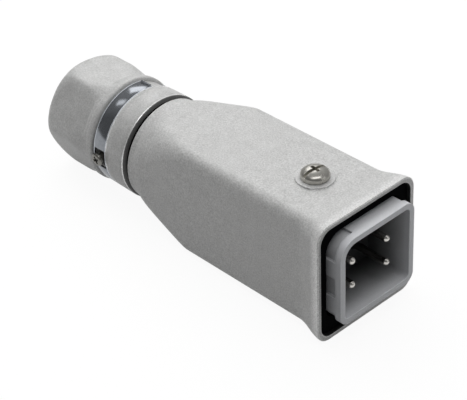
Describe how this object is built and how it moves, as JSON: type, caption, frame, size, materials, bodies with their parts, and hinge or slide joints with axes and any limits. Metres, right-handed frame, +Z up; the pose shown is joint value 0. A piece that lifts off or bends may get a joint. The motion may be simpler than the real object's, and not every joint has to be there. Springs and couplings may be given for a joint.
{
  "type": "five pin power connector",
  "caption": "Square die-cast cable hood with a shrouded male pin insert, round neck, clamping gland nut and a screw on top.",
  "frame": {"origin": "centre of the square mouth opening, in the plane of its rim", "axes": "+X out of the mating mouth along the hood, +Z up on the fixing-screw side, +Y to the left seen from the cable end"},
  "size_m": [0.0873, 0.028, 0.0294],
  "materials": {
    "die_cast": "fine blasted die casting",
    "black_rubber": "moulded rubber",
    "grey_plastic": "moulded, light sheen",
    "plated_contact": "bright plated",
    "plated_steel": "zinc plated",
    "nickel_screw": "polished nickel plate",
    "turned_metal": "blasted, with bright machined edges",
    "bright_band": "polished strip",
    "cage_plastic": "moulded nylon"
  },
  "bodies": {
    "connector": {"hood": "die_cast", "mouth_seal": "black_rubber", "insert_body": "grey_plastic", "rear_plate": "grey_plastic", "contact_pin_1": "plated_contact", "contact_pin_2": "plated_contact", "contact_pin_3": "plated_contact", "contact_pin_4": "plated_contact", "earth_pin": "plated_contact", "terminal_screws": "plated_steel", "earth_bracket": "plated_steel", "captive_nut": "plated_steel", "fixing_screw": "nickel_screw", "gland_adaptor": "turned_metal", "neck_seal": "black_rubber", "split_band": "bright_band", "band_screw": "nickel_screw", "clamping_cage": "cage_plastic", "sealing_grommet": "black_rubber"},
    "clamp_ring": {"thrust_ring": "plated_steel"},
    "nut": {"gland_nut": "turned_metal"}
  },
  "joints": [
    {"name": "nut_travel", "type": "slide", "parent": "connector", "child": "clamp_ring", "axis": [-1, 0, 0], "range_m": [0, 0.0075]},
    {"name": "nut_turn", "type": "hinge", "parent": "clamp_ring", "child": "nut", "pos_m": [-0.0765, 0, 0], "axis": [-1, 0, 0], "range_deg": [0, 1800]}
  ],
  "couplings": [
    {"joint": "nut_travel", "follows": "nut_turn", "m_per_rad": 0.00023873}
  ]
}
